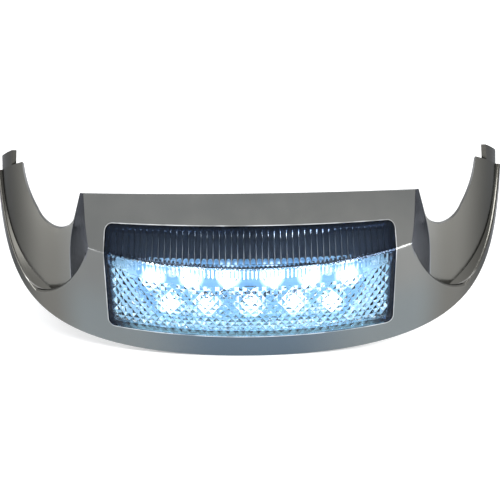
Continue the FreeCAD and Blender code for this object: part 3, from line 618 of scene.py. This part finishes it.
def threaded_stud_tree():
    """Pair of threaded studs along Y: a fine cylinder whose wall is cut in by a helix."""
    sizes = ["Radius", "Root Radius", "Length", "Root", "Pitch", "Depth", "Chamfer", "Spacing", "Finish"]
    tree, given, result = new_tree("threaded_studs", sizes)
    rod = add(tree, "GeometryNodeMeshCylinder",
              {"Vertices": 36, "Side Segments": 230, "Radius": given["Radius"], "Depth": given["Length"]},
              fill_type="NGON")
    place = add(tree, "ShaderNodeSeparateXYZ", {0: add(tree, "GeometryNodeInputPosition").outputs[0]})
    x, y, z = place.outputs
    half = calc(tree, "MULTIPLY", given["Length"], 0.5)
    turn = calc(tree, "DIVIDE", calc(tree, "ARCTAN2", y, x), 2 * math.pi)
    phase = calc(tree, "SUBTRACT", calc(tree, "DIVIDE", z, given["Pitch"]), turn)
    groove = calc(tree, "MULTIPLY", calc(tree, "PINGPONG", phase, 0.5), 2.0)
    start = calc(tree, "SUBTRACT", given["Root"], half)
    run = calc(tree, "DIVIDE", calc(tree, "SUBTRACT", z, start), given["Pitch"], clamp=True)
    cut = calc(tree, "MULTIPLY", calc(tree, "MULTIPLY", groove, given["Depth"]), run)
    tip = calc(tree, "SUBTRACT", half, given["Chamfer"])
    taper = calc(tree, "MAXIMUM", calc(tree, "SUBTRACT", z, tip), 0.0)
    swell = calc(tree, "SUBTRACT", given["Root Radius"], given["Radius"])
    root = calc(tree, "MULTIPLY", calc(tree, "LESS_THAN", z, start), swell)
    inward = calc(tree, "SUBTRACT", root, calc(tree, "MAXIMUM", cut, taper))
    flat = add(tree, "ShaderNodeCombineXYZ", {0: x, 1: y})
    outward = add(tree, "ShaderNodeVectorMath", {0: flat.outputs[0]}, operation="NORMALIZE")
    offset = add(tree, "ShaderNodeVectorMath", {0: outward.outputs[0], "Scale": inward}, operation="SCALE")
    cut_rod = add(tree, "GeometryNodeSetPosition",
                  {"Geometry": rod.outputs["Mesh"], "Offset": offset.outputs[0]})
    middle = add(tree, "ShaderNodeCombineXYZ", {1: calc(tree, "SUBTRACT", half, given["Root"])})
    laid = add(tree, "GeometryNodeTransform",
               {"Geometry": cut_rod.outputs[0], "Translation": middle.outputs[0],
                "Rotation": (-math.pi / 2, 0.0, 0.0)})
    first = add(tree, "ShaderNodeCombineXYZ", {0: calc(tree, "MULTIPLY", given["Spacing"], -0.5)})
    step = add(tree, "ShaderNodeCombineXYZ", {0: given["Spacing"]})
    pair = add(tree, "GeometryNodeMeshLine",
               {"Count": 2, "Start Location": first.outputs[0], "Offset": step.outputs[0]})
    copies = add(tree, "GeometryNodeInstanceOnPoints",
                 {"Points": pair.outputs[0], "Instance": laid.outputs[0]})
    close_tree(tree, copies.outputs[0], given, result)
    return tree


def grow_piece(name, tree, points=(), **sizes):
    """Runs a geometry tree on the given points and keeps the result as a plain mesh piece."""
    seed = bpy.data.meshes.new(name + "_points")
    seed.from_pydata([tuple(point) for point in points], [], [])
    piece = bpy.data.objects.new(name, seed)
    bpy.context.scene.collection.objects.link(piece)
    step = piece.modifiers.new("grow", "NODES")
    step.node_group = tree
    sockets = {item.name: item.identifier for item in tree.interface.items_tree if item.in_out == "INPUT"}
    for label, value in sizes.items():
        step[sockets[label.replace("_", " ")]] = value
    bpy.context.view_layer.update()
    ready = piece.evaluated_get(bpy.context.evaluated_depsgraph_get())
    mesh = bpy.data.meshes.new_from_object(ready)
    piece.modifiers.remove(step)
    piece.data = mesh
    mesh.name = name
    bpy.data.meshes.remove(seed)
    return piece


def keep_piece(piece, slot, *replaced):
    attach(piece, "root")
    if replaced:
        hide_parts(*replaced)


STUD_RADIUS = 2.0 * MM
STUD_PITCH, STUD_THREAD_DEPTH, STUD_CHAMFER = 0.7 * MM, 0.32 * MM, 0.6 * MM
WINDOW_BEAD_SINK = 0.3 * MM
SOLDER_SINK = 0.05 * MM
LED_PAD_LIFTS = (-1.4 * MM, 0.0, 1.4 * MM)
CHIP_PAD_LIFTS = (0.0,)

beads_on_places = beads_tree()

studs_low, studs_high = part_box("mounting_studs")
root_radius = (studs_high.z - studs_low.z) / 2
threaded_studs = grow_piece(
    "threaded_studs", threaded_stud_tree(), Radius=STUD_RADIUS, Root_Radius=root_radius,
    Length=studs_high.y - studs_low.y, Root=-studs_low.y, Pitch=STUD_PITCH, Depth=STUD_THREAD_DEPTH,
    Chamfer=STUD_CHAMFER, Spacing=studs_high.x - studs_low.x - 2 * root_radius,
    Finish=finishes["zinc_steel"])
keep_piece(threaded_studs, "zinc_steel", "mounting_studs")


def solder_places_of(name, lifts):
    """Places of the solder at both ends of a board part, at the given heights about its middle."""
    low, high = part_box(name)
    middle = (low + high) / 2
    return [Vector((side, high.y - SOLDER_SINK, middle.z + lift)) for side in (low.x, high.x) for lift in lifts]


window_places = []
solder_places = []
for name in led_names:
    low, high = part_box(name)
    middle = (low + high) / 2
    window_places.append(Vector((middle.x, low.y + WINDOW_BEAD_SINK, middle.z)))
    solder_places += solder_places_of(name, LED_PAD_LIFTS)
for name in chip_names + ["polarity_diode"]:
    solder_places += solder_places_of(name, CHIP_PAD_LIFTS)

lit_windows = grow_piece("lit_windows", beads_on_places, window_places, Across=1.9 * MM, Deep=0.55 * MM,
                         High=1.9 * MM, Finish=finishes["lit_window"])
keep_piece(lit_windows, "led_emitter")
solder_beads = grow_piece("solder_beads", beads_on_places, solder_places, Across=0.5 * MM, Deep=0.3 * MM,
                          High=0.55 * MM, Finish=finishes["solder"])
keep_piece(solder_beads, "zinc_steel")


# Studio, in metres

FLOOR_REACH = 4.0
SHADOW_NEAR, SHADOW_FAR, SHADOW_LIFT = 0.2, 0.8, 0.3
CAMERA_PLACE, CAMERA_AIM = Vector((0, -0.5108, 0.1315)), Vector((0, -0.0257, 0.0105))
CAMERA_LENS, CAMERA_SENSOR = 98.3, 36.0
CAMERA_ROLL = math.radians(-0.7)


def studio_floor():
    """Pale floor under the trim; white far off, keeping the soft shadow close in."""
    finish, tree, shader = new_finish("studio_floor")
    across, along, _ = place_parts(tree)
    away = slant(tree, across, along)
    mottle = speckle(tree, 6.0)
    tree.links.new(blend_colour(tree, mottle, (0.80, 0.80, 0.80, 1), (0.83, 0.83, 0.83, 1)),
                   shader.inputs["Base Color"])
    shader.inputs["Roughness"].default_value = 0.8
    lift = ramp(tree, away, SHADOW_NEAR, SHADOW_FAR, SHADOW_LIFT, 1.0)
    tree.links.new(calc(tree, "MULTIPLY", seen_rays(tree), lift), shader.inputs["Emission Strength"])
    shader.inputs["Emission Color"].default_value = (1, 1, 1, 1)
    mesh = bpy.data.meshes.new("studio_floor")
    height = cad_box[0][2]
    turns = ((-1, -1), (1, -1), (1, 1), (-1, 1))
    mesh.from_pydata([(x * FLOOR_REACH, y * FLOOR_REACH, height) for x, y in turns], [], [(0, 1, 2, 3)])
    mesh.materials.append(finish)
    floor = bpy.data.objects.new("studio_floor", mesh)
    bpy.context.scene.collection.objects.link(floor)


def studio_world():
    """White where it is seen, a dimmer cool fill for the light it spreads."""
    world = bpy.data.worlds.new("studio_world")
    world.use_nodes = True
    tree = world.node_tree
    tree.nodes.clear()
    fill = add(tree, "ShaderNodeBackground", {"Color": (0.95, 0.97, 1.0, 1), "Strength": 0.4})
    white = add(tree, "ShaderNodeBackground", {"Color": (1, 1, 1, 1), "Strength": 1.0})
    both = add(tree, "ShaderNodeMixShader", {0: seen_rays(tree), 1: fill.outputs[0], 2: white.outputs[0]})
    add(tree, "ShaderNodeOutputWorld", {"Surface": both.outputs[0]})
    bpy.context.scene.world = world


def soft_light(name, place, width, height, power):
    """Rectangular lamp turned to the middle of the part."""
    lamp = bpy.data.lights.new(name, "AREA")
    lamp.shape = "RECTANGLE"
    lamp.size = width
    lamp.size_y = height
    lamp.energy = power
    holder = bpy.data.objects.new(name, lamp)
    holder.location = place
    holder.rotation_euler = (-Vector(place)).to_track_quat("-Z", "Y").to_euler()
    bpy.context.scene.collection.objects.link(holder)


def studio_camera():
    """Camera at the photograph's height and distance, turned a little about its own axis."""
    lens = bpy.data.cameras.new("studio_camera")
    lens.lens = CAMERA_LENS
    lens.sensor_width = CAMERA_SENSOR
    lens.sensor_fit = "HORIZONTAL"
    lens.clip_start = 0.01
    lens.clip_end = 50.0
    camera = bpy.data.objects.new("studio_camera", lens)
    look = (CAMERA_AIM - CAMERA_PLACE).to_track_quat("-Z", "Y").to_matrix().to_4x4()
    camera.matrix_world = Matrix.Translation(CAMERA_PLACE) @ look @ Matrix.Rotation(CAMERA_ROLL, 4, "Z")
    bpy.context.scene.collection.objects.link(camera)
    bpy.context.scene.camera = camera


studio_floor()
studio_world()
soft_light("front_soft_light", place=(-0.3, -0.7, 0.8), width=0.6, height=0.5, power=5.0)
soft_light("right_soft_light", place=(0.62, -0.66, 0.36), width=0.45, height=0.4, power=12.0)
soft_light("left_soft_light", place=(-0.75, -0.2, 0.12), width=0.4, height=0.3, power=2.0)
soft_light("back_soft_light", place=(0.2, 0.8, 0.6), width=0.7, height=0.5, power=4.0)
studio_camera()
bpy.context.scene.view_settings.view_transform = "Standard"
